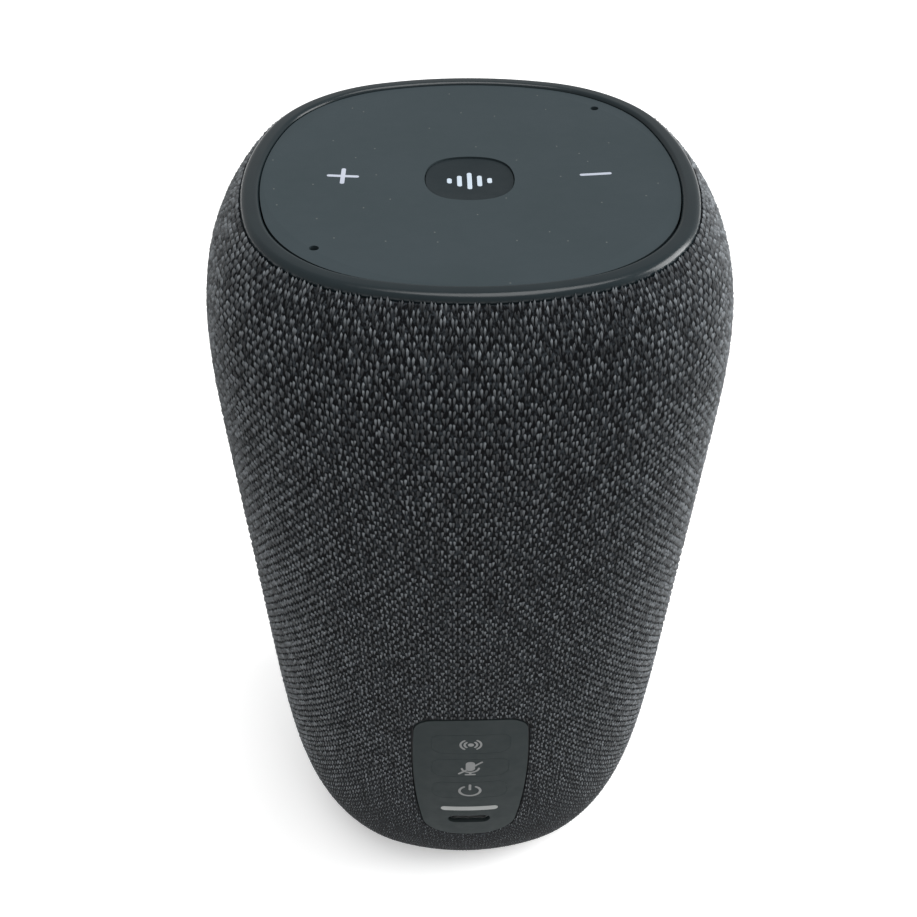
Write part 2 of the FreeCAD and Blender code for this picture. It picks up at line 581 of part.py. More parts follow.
def make_power():
    cells = []
    for x in (-CELL_X, CELL_X):
        can = rod(x, CELL_Y, CELL_LOW, CELL_LOW + CELL_LENGTH - 1.0, CELL_RADIUS)
        edges = [e for e in can.Edges if e.BoundBox.ZMax - e.BoundBox.ZMin < 0.01]
        button = rod(x, CELL_Y, CELL_LOW + CELL_LENGTH - 1.1, CELL_LOW + CELL_LENGTH, 3.2)
        cells.append(can.makeFillet(0.8, edges).fuse(button))
    keep("battery_cells", *cells)
    high = CELL_LOW + CELL_LENGTH
    half = 2 * CELL_RADIUS + 2.6
    back = -BOX_SPLIT - BOX_WALL - 0.1
    tray = box(-half, half, back - 1.0, back, 12.0, high + 2.2)
    for z0, z1 in ((12.0, CELL_LOW), (high, high + 2.2)):
        tray = tray.fuse(box(-half, half, CELL_Y - 6.0, back, z0, z1))
    for x in (-half, half - 1.2):
        tray = tray.fuse(box(x, x + 1.2, CELL_Y, back, 12.0, high + 2.2))
    tray = join(tray, box(-14, 14, CELL_Y - 6, CELL_Y + 6, BASE_TOP, 12.0).cut(
        box(-12, 12, CELL_Y - 7, CELL_Y + 7, BASE_TOP - 1, 11.0)))
    keep("battery_tray", tray)

    y0, y1 = MAIN_BOARD
    board = box(-29, 29, y0, y1, 14.5, 82.0)
    holes = [(sx * 26.5, z) for sx in (-1, 1) for z in (17.0, 78.0)]
    for x, z in holes:
        board = board.cut(rod_y(x, z, y0 - 1, y1 + 1, 1.2))
    keep("main_board", board)
    chips = [box(-20, -2, y0 - 2.2, y0, 46, 68), box(4, 20, y0 - 1.6, y0, 50, 66),
             box(-18, 2, y0 - 3.0, y0, 18, 34), box(8, 22, y0 - 2.4, y0, 20, 30),
             box(19, 28, y0 - 1.5, y0, 76.2, 79.4)]
    keep("shield_cans", *chips)
    antennas = [box(-20, 20, y - 4, y + 4, BOX_TOP, BOX_TOP + 0.4) for y in (-22.0, 22.0)]
    keep("wifi_antennas", *antennas)


def make_flex_cable():
    """A flat flex cable from the main board up behind the box to the top board."""
    x0, x1, t = 22.0, 27.0, 0.3
    low_y = MAIN_BOARD[0] - 1.5
    back_y = -BAFFLE - 0.5
    z_out, z_in = 82.6, BOX_TOP + 0.6
    rise_y = -27.0
    cable = join(box(x0, x1, low_y - t, low_y, 78.0, z_out + t),
                 box(x0, x1, back_y - t, low_y, z_out, z_out + t),
                 box(x0, x1, back_y - t, back_y, z_out, z_in + t),
                 box(x0, x1, back_y - t, rise_y, z_in, z_in + t),
                 box(x0 - 6, x1 - 6, rise_y, rise_y + t, z_in, TOP_BOARD_LOW),
                 box(x0 - 6, x1, rise_y - 4, rise_y + t, z_in, z_in + t))
    keep("top_flex_cable", cable)


# ---- control panel -----------------------------------------------------------------------
def between_insets(block, outer_inset, inner_inset):
    """The part of a block that lies between two insets of the hub's outer form."""
    low, high = REAR_LOW - 8, REAR_HIGH + 8
    near = box(-25, 25, -60, -20, low, high)
    outer = body_loft(low, high, outer_inset).common(near)
    inner = body_loft(low - 1, high + 1, inner_inset)
    return block.common(outer).cut(inner)


def usb_slot(grow, y0, y1):
    size = (USB_SHELL[0] + 2 * grow, USB_SHELL[1] + 2 * grow)
    return slot_xz(size, USB_Z, y0, y1)


def make_control_panel():
    width, height = KEY_SIZE
    skin = between_insets(rear_outline(0.0), 0.0, SKIN)
    carrier = between_insets(rear_outline(1.5), SKIN + 0.05, SHELL_IN)
    for name, z in KEY_Z.items():
        grown = (width + 2 * KEY_CLEAR, height + 2 * KEY_CLEAR)
        skin = skin.cut(slot_xz(grown, z, -60, -20, KEY_CORNER + KEY_CLEAR))
        carrier = carrier.cut(slot_xz((width + 2.0, height + 1.4), z, -60, -20, 2.8))
        cap = between_insets(slot_xz(KEY_SIZE, z, -60, -20, KEY_CORNER), 0.0, SKIN + 1.0)
        flange = between_insets(slot_xz((width + 1.4, height + 0.8), z, -60, -20, 2.6),
                                SKIN + 0.06, SKIN + 1.0)
        plunger = rod_y(0, z, -42.2, -39.6, 1.6)
        keep(name, join(cap, flange, plunger))
    bar = between_insets(slot_xz(BAR_SIZE, BAR_Z, -60, -20, 0.9), 0.0, 6.4)
    bar_hole = slot_xz((BAR_SIZE[0] + 0.1, BAR_SIZE[1] + 0.1), BAR_Z, -60, -20, 0.95)
    mouth = usb_slot(0.2, -60, -20)
    keep("rear_keypad", cut(skin, bar_hole, mouth))
    keep("rear_panel_carrier", cut(carrier, bar_hole, mouth))
    keep("charge_light_bar", bar)

    board = box(-9.5, 9.5, KEY_BOARD_FRONT, KEY_BOARD_BACK, 40.2, 78.0)
    keep("key_board", board)
    switches = []
    for z in KEY_Z.values():
        body = box(-3, 3, -38.2, KEY_BOARD_FRONT, z - 1.8, z + 1.8)
        switches.append(body.fuse(rod_y(0, z, -39.15, -38.2, 1.2)))
    keep("key_switches", *switches)

    port = usb_slot(0.0, USB_FRONT, USB_BACK).cut(
        slot_xz(USB_MOUTH, USB_Z, USB_FRONT - 1, USB_BACK - 0.6))
    keep("usb_port_shell", port)
    keep("usb_port_tongue", box(-3.35, 3.35, USB_FRONT + 0.8, USB_BACK - 0.6,
                                USB_Z - 0.35, USB_Z + 0.35))
    seal = slot_xz((12.4, 6.6), USB_Z, -39.5, -38.75).cut(usb_slot(0.02, -60, -20))
    keep("usb_seal", seal)
    top = USB_Z - USB_SHELL[1] / 2
    keep("usb_board", box(-8, 8, -38.7, -29.0, top - 1.2, top))


def main():
    for make in (make_sleeve, make_shells, make_base, make_top, make_box, make_driver,
                 make_radiator, make_power, make_flex_cable, make_control_panel):
        make()
    os.makedirs("parts", exist_ok=True)
    for name, shape in PARTS.items():
        shape.exportStep(f"parts/{name}.step")
        state = "ok" if shape.isValid() else "INVALID"
        print(f"{name:22s} solids {len(shape.Solids)}  {shape.Volume / 1000:8.3f} cm3  {state}")
    print(len(PARTS), "nodes")


main()
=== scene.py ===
"""Looks for the smart home hub: knitted sleeve, satin top ring, dished touch top and control panel.

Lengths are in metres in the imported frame: +Z up, -Y the side with the control panel.
"""

import json
import math

import bpy
import numpy as np
from mathutils import Matrix, Vector


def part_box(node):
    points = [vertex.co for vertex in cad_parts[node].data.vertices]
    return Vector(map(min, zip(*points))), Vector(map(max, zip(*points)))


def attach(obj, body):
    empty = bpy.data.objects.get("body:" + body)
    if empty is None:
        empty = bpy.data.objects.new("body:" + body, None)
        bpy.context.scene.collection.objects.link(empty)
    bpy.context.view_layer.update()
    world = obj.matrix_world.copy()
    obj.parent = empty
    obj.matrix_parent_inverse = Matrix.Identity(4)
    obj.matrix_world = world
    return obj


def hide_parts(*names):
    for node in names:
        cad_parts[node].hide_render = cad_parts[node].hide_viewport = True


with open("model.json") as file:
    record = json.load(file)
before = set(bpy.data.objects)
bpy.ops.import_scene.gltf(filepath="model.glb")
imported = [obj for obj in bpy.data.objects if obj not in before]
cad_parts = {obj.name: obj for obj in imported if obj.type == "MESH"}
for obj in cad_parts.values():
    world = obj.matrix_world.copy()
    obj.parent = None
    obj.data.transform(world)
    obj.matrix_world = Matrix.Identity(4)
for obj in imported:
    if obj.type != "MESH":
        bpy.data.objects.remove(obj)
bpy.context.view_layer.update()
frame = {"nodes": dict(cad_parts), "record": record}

MM = 0.001
RNG = np.random.default_rng(7)

# ---- driving dimensions, as the CAD has them ---------------------------------------------
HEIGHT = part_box("top_ring")[1].z
HALF_WIDTH = 44.0 * MM
WAIST_Z = 100.0 * MM
SHOULDER_DROP, SHOULDER_POWER = 9.2 * MM, 8.4
HEEL_DROP, HEEL_POWER = 10.4 * MM, 5.8
SIDE_ARC = 1.6               # radius of a section's side arc, over its half-width
CORNER_REACH = 1.066         # a section's half-diagonal, over its half-width

SLEEVE_LOW, SLEEVE_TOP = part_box("fabric_sleeve")[0].z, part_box("fabric_sleeve")[1].z
FIRST_ROW, LAST_ROW = SLEEVE_LOW - 0.4 * MM, SLEEVE_TOP - 0.3 * MM
RING_FLANGE = 0.8 * MM       # the ring's hidden flange reaches this far past its side
RING_HALF, RING_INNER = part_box("top_ring")[1].x - RING_FLANGE, 32.7 * MM
RING_ROUND, RING_LIP = 1.15 * MM, 0.7 * MM     # rounding of its outer and inner edges
RING_FOOT = 1.2 * MM         # the visual ring starts this far above the CAD ring's foot
RING_POINTS = 320
TALK_FACE, TALK_BALL = 167.6 * MM, 60.0 * MM   # lowest point and radius of the key's hollow

# control panel outline: its ends, its widest place and the radii of its tangent arcs
REAR_LOW, REAR_HIGH = 28.1 * MM, 79.6 * MM
REAR_HALF, REAR_WIDEST_Z = 11.7 * MM, 60.0 * MM
REAR_LOW_ARC, REAR_HIGH_ARC, REAR_SIDE_ARC = 30.0 * MM, 45.0 * MM, 200.0 * MM
REAR_LOW_CORNER, REAR_HIGH_CORNER = 8.5 * MM, 4.6 * MM
KEY_SIZE, KEY_CORNER, KEY_CLEAR = (15.6 * MM, 7.0 * MM), 2.3 * MM, 0.06 * MM
KEY_MARGIN = 0.012 * MM      # a key's web stops this far short of the key and of its hole
KEY_WEB = (0.03 * MM, 0.6 * MM)      # front and back of the web, below the panel's face
SLEEVE_GAP = 0.3 * MM        # sleeve to control panel

# ---- knit ----------------------------------------------------------------------------------
WALES = 162                  # stitches round the sleeve
COURSE = 1.05 * MM           # rise from one row of stitches to the next
WALE = 1.85 * MM             # width of a stitch whose legs have the sizes in LEG
KNIT_BANDS = 4               # the stitches are kept in this many bands, one above the other
GROUND_STEP = 0.9 * MM       # height of one row of the ground's faces
GROUND_DEPTH = 0.12 * MM     # the ground lies this far below the sleeve's outside
TUCK = 0.9 * MM              # how far the ground's edges turn in
EDGE_ROOM = 0.1 * MM         # no stitch has its middle nearer than this to the panel's opening
SINK = 0.25                  # how much deeper in mm the lowest stitches lie
SINK_FROM, SINK_OVER = 60 * MM, 35 * MM
SKIRT = -0.16                # height in mm of a leg's sides, below the sleeve's outside
LEG = (
    # along the leg, half-width, height of its ridge and how far it stands from the stitch's
    # middle, all in millimetres, then its brightness: painted shade that darkens the leg
    # towards its lower end, where it dives under the row below
    (-0.80, 0.0, -0.14, 0.21, 0.04),
    (-0.24, 0.175, 0.06, 0.26, 0.20),
    (0.34, 0.215, 0.24, 0.31, 0.85),
    (0.72, 0.0, 0.08, 0.31, 1.0),
)
LEG_FACES = [(0, 3, 2), (0, 2, 1), (1, 2, 5, 4), (2, 3, 6, 5), (4, 5, 7), (5, 6, 7)]
LEG_POINTS = 8               # one at each end and three at each wide place
SLIDE, LEAN, SIZE = 0.07, 0.07, 0.14          # spread of the legs' place, slant and size
SMALLEST, LARGEST = 0.7, 1.35
DARKEST, LOOP_SHARE, LEG_SHARE = 0.08, 0.4, 0.8       # a leg's brightness

# ---- printed marks -------------------------------------------------------------------------
MARK_PROUD, MARK_ROOT = 0.04 * MM, 0.10 * MM  # above and below the surface they are printed on
ARC_STEPS, CAP_STEPS, LINE_STEPS = 14, 6, 4

# ---- camera and floor ----------------------------------------------------------------------
CAMERA_AT = Vector((-4.73, -139.22, 240.70)) * MM
CAMERA_AIM = Vector((-1.62, 0.0, 106.43)) * MM
CAMERA_ROLL = math.radians(0.17)
LENS, SENSOR = 37.28, 36.0
FLOOR_REACH = 6.0


# ---- the hub's outer form ------------------------------------------------------------------
def half_width(z):
    """Half-width of the sleeve's outside at height z, as an array."""
    z = np.asarray(z, float)
    above = np.clip((z - WAIST_Z) / (HEIGHT - WAIST_Z), 0, None)
    below = np.clip((WAIST_Z - z) / WAIST_Z, 0, None)
    return HALF_WIDTH - SHOULDER_DROP * above ** SHOULDER_POWER - HEEL_DROP * below ** HEEL_POWER


def squircle(half, turn, inset=0.0):
    """Points and normals of a rounded square at these turns, from 0 to 1; turn 0 is at -Y."""
    half, turn = np.broadcast_arrays(np.asarray(half, float), np.asarray(turn, float))
    spare, bow = SIDE_ARC - CORNER_REACH, SIDE_ARC - 1
    corner_at = (spare ** 2 - bow ** 2) / (2 * bow - 2 * math.sqrt(2) * spare)
    corner = CORNER_REACH - math.sqrt(2) * corner_at
    meet = math.atan2(corner_at, corner_at + bow)
    side_share = SIDE_ARC * meet
    share = side_share / (side_share + corner * (math.pi / 4 - meet))
    eighth = (turn % 1) * 8
    quarter = np.floor((eighth + 1) / 2)
    within = eighth - 2 * quarter                       # -1 to 1 across one quarter
    size, sign = np.abs(within), np.sign(within)
    on_side = size < share
    angle = np.where(on_side, size / share * meet,
                     meet + (size - share) / (1 - share) * (math.pi / 4 - meet))
    radius = np.where(on_side, SIDE_ARC, corner) * half - inset
    cx = np.where(on_side, 1 - SIDE_ARC, corner_at) * half
    cy = np.where(on_side, 0, corner_at) * half * sign
    nx, ny = np.cos(angle), np.sin(angle) * sign
    x, y = cx + radius * nx, cy + radius * ny
    lean = (quarter - 1) * math.pi / 2                  # quarter 0 faces -Y
    c, s = np.cos(lean), np.sin(lean)
    return c * x - s * y, s * x + c * y, c * nx - s * ny, s * nx + c * ny


def climb(step, low, high):
    """Heights from low to high about one step apart along the sleeve's curved side."""
    z = np.linspace(low, high, 4000)
    run = np.concatenate([[0], np.cumsum(np.hypot(np.diff(z), np.diff(half_width(z))))])
    rows = max(2, round(run[-1] / step) + 1)
    return np.interp(np.linspace(0, run[-1], rows), run, z)


def on_body(turn, z):
    """Points and outward normals on the sleeve's smooth outside."""
    turn, z = np.broadcast_arrays(np.asarray(turn, float), np.asarray(z, float))
    half = half_width(z)
    x, y, nx, ny = squircle(half, turn)
    slope = (half_width(z + 1e-5) - half_width(z - 1e-5)) / 2e-5
    nz = -slope * (x * nx + y * ny) / half
    normal = np.stack([nx, ny, nz], -1)
    return np.stack([x, y, z], -1), normal / np.linalg.norm(normal, axis=-1, keepdims=True)


def face_y(x, z):
    """y of the sleeve's outside on its -Y face, near x = 0."""
    half = half_width(z)
    side = SIDE_ARC * half
    return (side - half) - np.sqrt(side ** 2 - np.asarray(x) ** 2)


def corner_centre(end, end_radius, side, side_radius, corner, way):
    """Centre of a corner arc tangent inside an end arc and a side arc; way is 1 up, -1 down."""
    reach, other = end_radius - corner, side_radius - corner
    apart = math.hypot(side[0] - end[0], side[1] - end[1])
    along = (reach ** 2 - other ** 2 + apart ** 2) / (2 * apart)
    off = way * math.sqrt(reach ** 2 - along ** 2)
    ux, uz = (side[0] - end[0]) / apart, (side[1] - end[1]) / apart
    return end[0] + ux * along + uz * off, end[1] + uz * along - ux * off


def panel_arcs():
    """The right half of the control panel's outline as (centre, radius, start, end) arcs."""
    high, low = (0.0, REAR_HIGH - REAR_HIGH_ARC), (0.0, REAR_LOW + REAR_LOW_ARC)
    side = (REAR_HALF - REAR_SIDE_ARC, REAR_WIDEST_Z)
    top_corner = corner_centre(high, REAR_HIGH_ARC, side, REAR_SIDE_ARC, REAR_HIGH_CORNER, 1)
    low_corner = corner_centre(low, REAR_LOW_ARC, side, REAR_SIDE_ARC, REAR_LOW_CORNER, -1)
    joins = ((low, low_corner), (side, low_corner), (side, top_corner), (high, top_corner))
    turns = [math.atan2(end[1] - start[1], end[0] - start[0]) for start, end in joins]
    turns = [-math.pi / 2] + turns + [math.pi / 2]
    centres = (low, low_corner, side, top_corner, high)
    radii = (REAR_LOW_ARC, REAR_LOW_CORNER, REAR_SIDE_ARC, REAR_HIGH_CORNER, REAR_HIGH_ARC)
    return list(zip(centres, radii, turns[:-1], turns[1:]))


def outline_distance(x, z):
    """Signed distance from the sleeve's opening for the panel, negative inside, and the way out."""
    side = np.where(x < 0, -1.0, 1.0)
    distance = np.full(np.shape(x), -1.0)
    way_x, way_z = side.copy(), np.zeros(np.shape(x))
    for (cx, cz), radius, start, end in panel_arcs():
        dx, dz = np.abs(x) - cx, z - cz
        angle, reach = np.arctan2(dz, dx), np.hypot(dx, dz)
        here = reach - radius - SLEEVE_GAP
        mine = (angle >= start) & (angle <= end) & (here > distance)
        distance = np.where(mine, here, distance)
        way_x = np.where(mine, dx / np.maximum(reach, 1e-9) * side, way_x)
        way_z = np.where(mine, dz / np.maximum(reach, 1e-9), way_z)
    return distance, way_x, way_z


# ---- meshes --------------------------------------------------------------------------------
def new_piece(name, points, faces, material, body="housing", smooth=True):
    """A mesh object that rides on a body and takes its finish from a material slot."""
    mesh = bpy.data.meshes.new(name)
    mesh.from_pydata([tuple(p) for p in points], [], [tuple(f) for f in faces])
    mesh.update()
    piece = bpy.data.objects.new(name, mesh)
    bpy.context.collection.objects.link(piece)
    if smooth:
        mesh.polygons.foreach_set("use_smooth", [True] * len(mesh.polygons))
    mesh.materials.append(material)
    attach(piece, body)
    return piece


def grid_faces(rows, columns):
    """Quads of a rows x columns grid of points, closed round the columns."""
    r = np.arange(rows - 1)[:, None]
    c = np.arange(columns)[None, :]
    following = (c + 1) % columns
    quads = np.stack([r * columns + c, r * columns + following,
                      (r + 1) * columns + following, (r + 1) * columns + c], -1)
    return quads.reshape(-1, 4).tolist()


def keep_edges(piece, degrees):
    """Keeps edges sharper than this angle crisp."""
    bpy.context.view_layer.objects.active = piece
    piece.select_set(True)
    bpy.ops.object.shade_smooth_by_angle(angle=math.radians(degrees))
    piece.select_set(False)


# ---- materials -----------------------------------------------------------------------------
class Shader:
    """A small helper round one node material."""

    def __init__(self, name, roughness=0.5, **sockets):
        self.material = bpy.data.materials.new(name)
        self.material.use_nodes = True
        self.tree = self.material.node_tree
        self.bsdf = self.tree.nodes["Principled BSDF"]
        self.bsdf.inputs["Roughness"].default_value = roughness
        for socket, value in sockets.items():
            self.bsdf.inputs[socket.replace("_", " ")].default_value = value

    def node(self, kind, **values):
        made = self.tree.nodes.new(kind)
        for key, value in values.items():
            if key in made.inputs:
                made.inputs[key].default_value = value
            else:
                setattr(made, key, value)
        return made

    def link(self, source, target):
        self.tree.links.new(source, target)

    def place(self, scale):
        """Object coordinates in millimetres, stretched by scale."""
        coords = self.node("ShaderNodeTexCoord")
        mapping = self.node("ShaderNodeMapping")
        mapping.inputs["Scale"].default_value = [1000 * s for s in scale]
        self.link(coords.outputs["Object"], mapping.inputs["Vector"])
        return mapping.outputs["Vector"]

    def noise(self, scale, detail, roughness=0.5, stretch=(1, 1, 1)):
        made = self.node("ShaderNodeTexNoise", Scale=scale, Detail=detail, Roughness=roughness)
        self.link(self.place(stretch), made.inputs["Vector"])
        return made.outputs["Fac"]

    def remap(self, value, low, high, to_low, to_high):
        made = self.node("ShaderNodeMapRange")
        limits = {"From Min": low, "From Max": high, "To Min": to_low, "To Max": to_high}
        for socket, number in limits.items():
            made.inputs[socket].default_value = number
        self.link(value, made.inputs["Value"])
        return made.outputs["Result"]

    def mix(self, factor, a, b):
        """A colour mix; a and b are colours or sockets."""
        made = self.node("ShaderNodeMix", data_type="RGBA")
        for socket, value in ((made.inputs[6], a), (made.inputs[7], b)):
            if isinstance(value, (tuple, list)):
                socket.default_value = (*value, 1)
            else:
                self.link(value, socket)
        if isinstance(factor, float):
            made.inputs[0].default_value = factor
        else:
            self.link(factor, made.inputs[0])
        return made.outputs[2]

    def bump(self, height, distance, strength=1.0):
        made = self.node("ShaderNodeBump", Strength=strength, Distance=distance)
        self.link(height, made.inputs["Height"])
        self.link(made.outputs["Normal"], self.bsdf.inputs["Normal"])

    def color(self, source):
        self.link(source, self.bsdf.inputs["Base Color"])

    def roughness(self, source):
        self.link(source, self.bsdf.inputs["Roughness"])


def moulded(name, dark, light, roughness, grain, bump, **sockets):
    """Moulded plastic or rubber: a fine spark texture and a slight cloudiness."""
    m = Shader(name, **sockets)
    m.color(m.mix(m.remap(m.noise(0.12, 3.0), 0.3, 0.7, 0.0, 1.0), dark, light))
    m.roughness(m.remap(m.noise(0.5, 2.0), 0.3, 0.7, *roughness))
    m.bump(m.noise(grain, 3.0), bump * MM)
    return m.material


def dusty_top(name, dark, light, roughness):
    """Soft-touch top: fine grain with a few specks of lint on it."""
    m = Shader(name, Specular_IOR_Level=0.16)
    cloud = m.remap(m.noise(0.06, 3.0), 0.3, 0.7, 0.0, 1.0)
    base = m.mix(cloud, dark, light)
    cells = m.node("ShaderNodeTexVoronoi", voronoi_dimensions="2D", Scale=0.11, Randomness=1.0)
    m.link(m.place((1, 1, 1)), cells.inputs["Vector"])
    speck = m.remap(cells.outputs["Distance"], 0.008, 0.016, 0.8, 0.0)
    m.color(m.mix(speck, base, (0.16, 0.17, 0.16)))
    m.roughness(m.remap(m.noise(0.35, 3.0), 0.3, 0.7, *roughness))
    m.bump(m.noise(4.0, 3.0), 0.01 * MM)
    return m.material


MOULDED = {
    # look: material, dark and light colour, roughness, grain, its depth in mm, other sockets
    "ring": ("ring_rubber", (0.009, 0.015, 0.018), (0.011, 0.018, 0.021), (0.2, 0.26), 2.5, 0.003,
             {"Specular_IOR_Level": 0.26}),
    "key": ("key_skin", (0.013, 0.019, 0.022), (0.016, 0.022, 0.025), (0.45, 0.55), 3.0, 0.012,
            {"Specular_IOR_Level": 0.1}),
    "rear": ("rear_skin", (0.021, 0.0275, 0.0285), (0.024, 0.0305, 0.0315), (0.5, 0.6), 3.0, 0.012,
             {"Specular_IOR_Level": 0.04}),
    "mark": ("top_marks", (0.36, 0.39, 0.46), (0.42, 0.45, 0.52), (0.5, 0.6), 6.0, 0.004, {}),
    "legend": ("key_legends", (0.125, 0.13, 0.13), (0.155, 0.16, 0.16), (0.55, 0.65), 6.0, 0.004,
               {}),
    "glyph": ("talk_glyph", (0.42, 0.5, 0.58), (0.5, 0.57, 0.64), (0.4, 0.5), 6.0, 0.004, {}),
    "bar": ("light_bar", (0.16, 0.17, 0.165), (0.19, 0.20, 0.195), (0.3, 0.4), 3.0, 0.012, {}),
    "foot": ("foot_rubber", (0.018, 0.019, 0.02), (0.026, 0.027, 0.028), (0.6, 0.75), 2.0, 0.03,
             {}),
    "base": ("base_plastic", (0.022, 0.024, 0.026), (0.03, 0.032, 0.034), (0.45, 0.6), 2.0, 0.03,
             {}),
    "plastic": ("inner_plastic", (0.02, 0.02, 0.022), (0.03, 0.03, 0.032), (0.42, 0.55), 3.0,
                0.012, {}),
    "dark": ("dark_rubber", (0.008, 0.008, 0.009), (0.012, 0.012, 0.013), (0.6, 0.7), 3.0, 0.012,
             {}),
    "board": ("board_mask", (0.008, 0.05, 0.02), (0.012, 0.07, 0.03), (0.3, 0.4), 3.0, 0.012, {}),
    "film": ("amber_film", (0.35, 0.16, 0.03), (0.45, 0.2, 0.04), (0.25, 0.35), 3.0, 0.012, {}),
    "milky": ("milky_plastic", (0.65, 0.65, 0.63), (0.75, 0.75, 0.73), (0.3, 0.4), 3.0, 0.012, {}),
    "paper": ("pressed_fibre", (0.015, 0.015, 0.015), (0.03, 0.03, 0.03), (0.7, 0.85), 1.5, 0.05,
              {}),
    "cloth": ("dipped_cloth", (0.3, 0.18, 0.06), (0.4, 0.25, 0.09), (0.6, 0.75), 2.0, 0.08, {}),
    "wrap": ("cell_wrap", (0.03, 0.09, 0.25), (0.04, 0.12, 0.3), (0.25, 0.35), 3.0, 0.012, {}),
    "steel": ("plated_steel", (0.42, 0.42, 0.43), (0.55, 0.55, 0.56), (0.25, 0.4), 1.5, 0.01,
              {"Metallic": 1.0}),
    "gold": ("gold_contact", (0.72, 0.5, 0.18), (0.83, 0.6, 0.25), (0.18, 0.28), 1.5, 0.01,
             {"Metallic": 1.0}),
    "copper": ("copper_wire", (0.6, 0.25, 0.12), (0.72, 0.32, 0.17), (0.3, 0.4), 6.0, 0.02,
               {"Metallic": 1.0}),
}


def make_yarn():
    """Melange yarn: each leg's own random brightness times a painted shade that darkens it towards
    its lower end, with lighter and darker fibres along it.
    """
    yarn = Shader("yarn", Sheen_Weight=0.12, Sheen_Roughness=0.5, Specular_IOR_Level=0.2)
    shade = yarn.node("ShaderNodeAttribute", attribute_name="shade").outputs["Fac"]
    fibre = yarn.remap(yarn.noise(5.0, 2.0, 0.6, stretch=(1, 1, 0.3)), 0.3, 0.7, 0.0, 1.0)
    # near-black where the painted shade is deepest, at the legs' lower ends
    yarn_colour_and_shade = yarn.mix(shade, (0.005, 0.006, 0.0075), (0.235, 0.257, 0.275))
    yarn.color(yarn.mix(fibre, yarn.mix(0.35, yarn_colour_and_shade, (0.005, 0.006, 0.007)), yarn_colour_and_shade))
    yarn.roughness(yarn.remap(fibre, 0.0, 1.0, 0.85, 0.7))
    yarn.bump(fibre, 0.05 * MM, 0.8)
    return yarn.material


def make_ground_look():
    """The knit's ground: near-black, a painted shade deep in the gaps between the stitches, with a
    few strands that catch the light.
    """
    ground = Shader("knit_ground", roughness=0.9, Specular_IOR_Level=0.1)
    strands = ground.noise(2.2, 2.0, 0.6, stretch=(1, 1, 0.55))
    # colour from near-black, painted shade in the knit's gaps, to a lighter grey on the strands
    ground.color(ground.mix(ground.remap(strands, 0.48, 0.66, 0.0, 1.0),
                            (0.003, 0.0034, 0.0042), (0.028, 0.033, 0.038)))
    ground.bump(strands, 0.15 * MM)
    return ground.material


def make_materials():
    made = {"yarn": make_yarn(), "ground": make_ground_look()}
    made["top"] = dusty_top("top_skin", (0.028, 0.040, 0.045), (0.031, 0.043, 0.049), (0.5, 0.58))
    for look, (name, dark, light, roughness, grain, bump, sockets) in MOULDED.items():
        made[look] = moulded(name, dark, light, roughness, grain, bump, **sockets)
    return made


LOOK_OF_SLOT = {
    "knit": "ground", "shell": "plastic", "base": "base", "gold": "gold", "steel": "steel",
    "foot_rubber": "foot", "ring_rubber": "ring", "top_skin": "top", "marks": "mark",
    "key_skin": "key", "rear_skin": "rear", "film": "film", "foam": "dark", "can_metal": "steel",
    "soft_rubber": "dark", "frame": "plastic", "board": "board", "switch": "plastic",
    "diffuser": "milky", "diffuser_dark": "bar", "led": "milky", "steel_frame": "paper",
    "zinc": "steel", "magnet": "steel", "kapton": "film", "copper": "copper",
    "spider_cloth": "cloth", "paper": "paper", "radiator_metal": "steel", "cell_wrap": "wrap",
}


def dress_nodes(looks):
    """Gives every CAD node the look of its material slot."""
    slot_of = {s["node"]: s["material_slot"] for s in frame["record"]["subparts"]}
    for name, node in frame["nodes"].items():
        look = looks[LOOK_OF_SLOT[slot_of[name]]]
        node.data.materials.clear()
        node.data.materials.append(look)


# ---- knitted sleeve ------------------------------------------------------------------------
def make_ground(look):
    """The sleeve's dark ground, its near-black being painted shade: a sheet with edges tucked in at
    the top, foot and panel.
    """
    columns = 2 * WALES
    heights = climb(GROUND_STEP, SLEEVE_LOW, SLEEVE_TOP)
    turn = np.arange(columns) / columns
    points, normals = on_body(turn[None, :], heights[:, None])
    points -= normals * GROUND_DEPTH
    tuck_top, tuck_low = points[-1] - normals[-1] * TUCK, points[0] - normals[0] * TUCK
    rows = len(heights)
    flat = points.reshape(-1, 3)
    x, y, z = flat.T
    distance, way_x, way_z = outline_distance(x, z)
    distance = np.where(y < 0, distance, 1.0)
    inside = distance < 0
    quads = np.array(grid_faces(rows, columns))
    kept = quads[~inside[quads].all(1)]
    moved = np.unique(kept[inside[kept]])
    flat[moved, 0] -= way_x[moved] * distance[moved]
    flat[moved, 2] -= way_z[moved] * distance[moved]
    flat[moved, 1] = face_y(flat[moved, 0], flat[moved, 2]) + GROUND_DEPTH
    # the edge round the panel turns in towards the shell
    edges = np.concatenate([kept[:, [0, 1]], kept[:, [1, 2]], kept[:, [2, 3]], kept[:, [3, 0]]])
    known = {(a, b) for a, b in edges.tolist()}
    at_edge = set(moved.tolist())
    rim = [(a, b) for a, b in known if (b, a) not in known and a in at_edge and b in at_edge]
    turned_in = {v: len(flat) + i for i, v in enumerate(sorted({v for e in rim for v in e}))}
    lip = flat[sorted(turned_in)] + [0, TUCK, 0]
    start, top = len(flat) + len(lip), (rows - 1) * columns
    everything = np.concatenate([flat, lip, tuck_low, tuck_top])
    faces = kept.tolist() + [[b, a, turned_in[a], turned_in[b]] for a, b in rim]
    for c in range(columns):
        d = (c + 1) % columns
        faces.append([start + c, start + d, d, c])
        faces.append([top + c, top + d, start + columns + d, start + columns + c])
    return new_piece("knit_ground", everything, faces, look)


